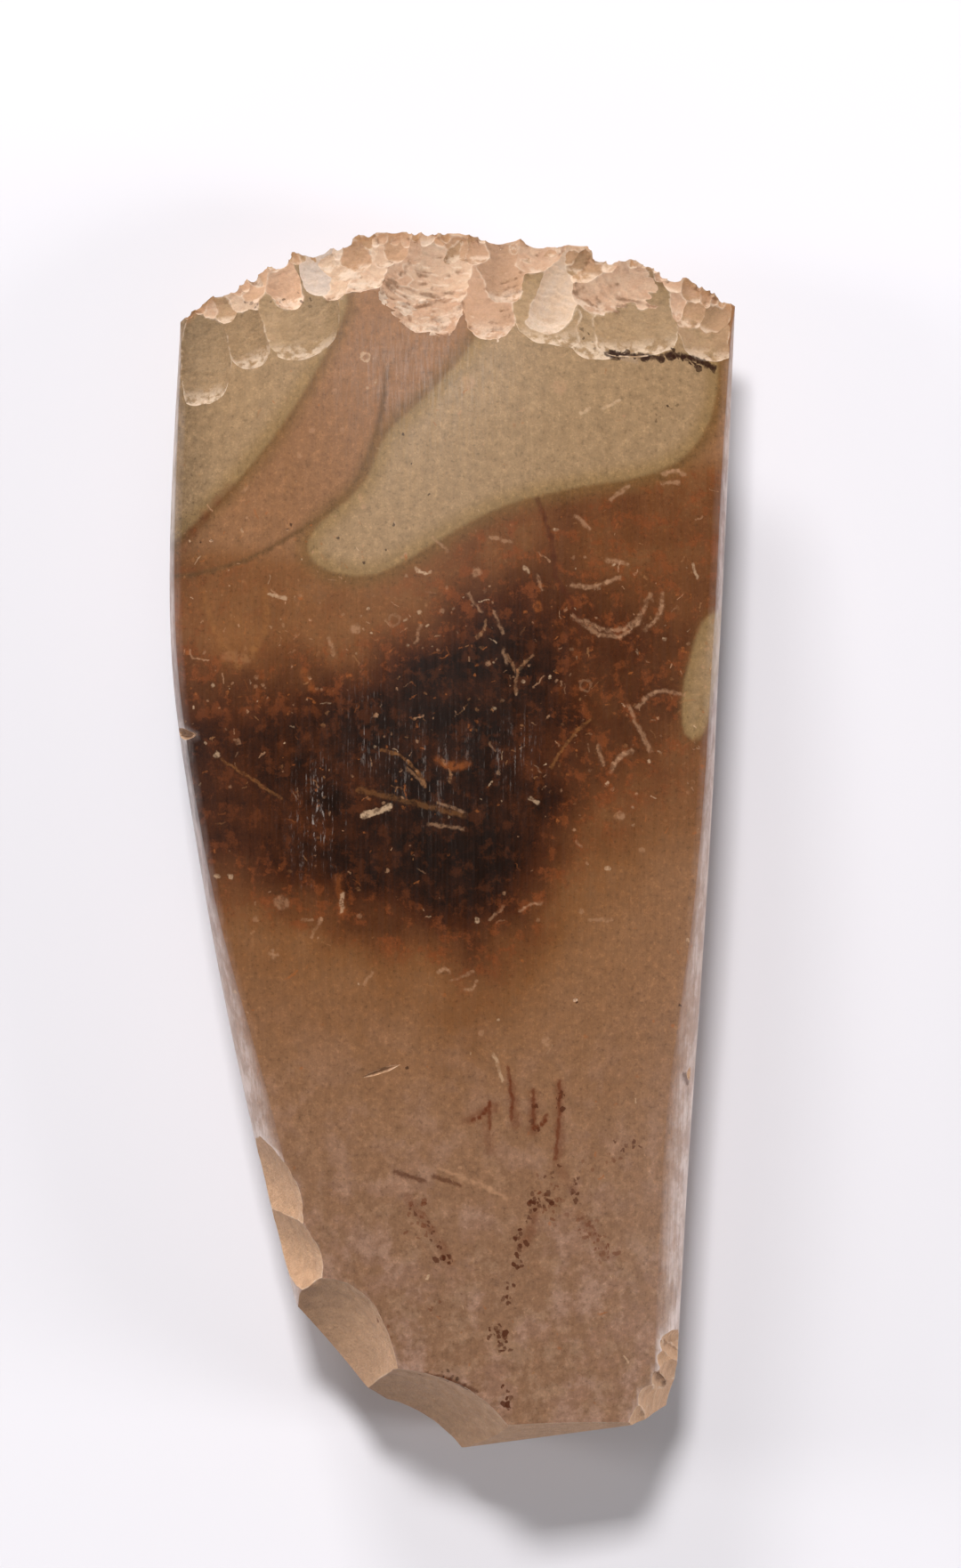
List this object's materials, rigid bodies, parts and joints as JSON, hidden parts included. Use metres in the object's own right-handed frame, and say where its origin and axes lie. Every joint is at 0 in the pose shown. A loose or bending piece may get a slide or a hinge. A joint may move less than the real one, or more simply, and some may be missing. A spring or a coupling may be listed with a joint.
{
  "type": "polished flint axe head",
  "caption": "Polished stone axe head with domed faces, flat narrow sides, a flaked curved cutting edge and a broken butt, lying on its back face.",
  "frame": {"origin": "centre of the bounding box in plan, at the small flat under the back face that it lies on", "axes": "+Y towards the cutting edge, +X towards the straighter narrow side, +Z out of the front broad face"},
  "size_m": [0.066, 0.1421, 0.0276],
  "materials": {
    "flint": "ground and polished brown flint, with paler flaked edge and butt"
  },
  "bodies": {
    "root": {"axe_head": "flint"}
  },
  "joints": []
}
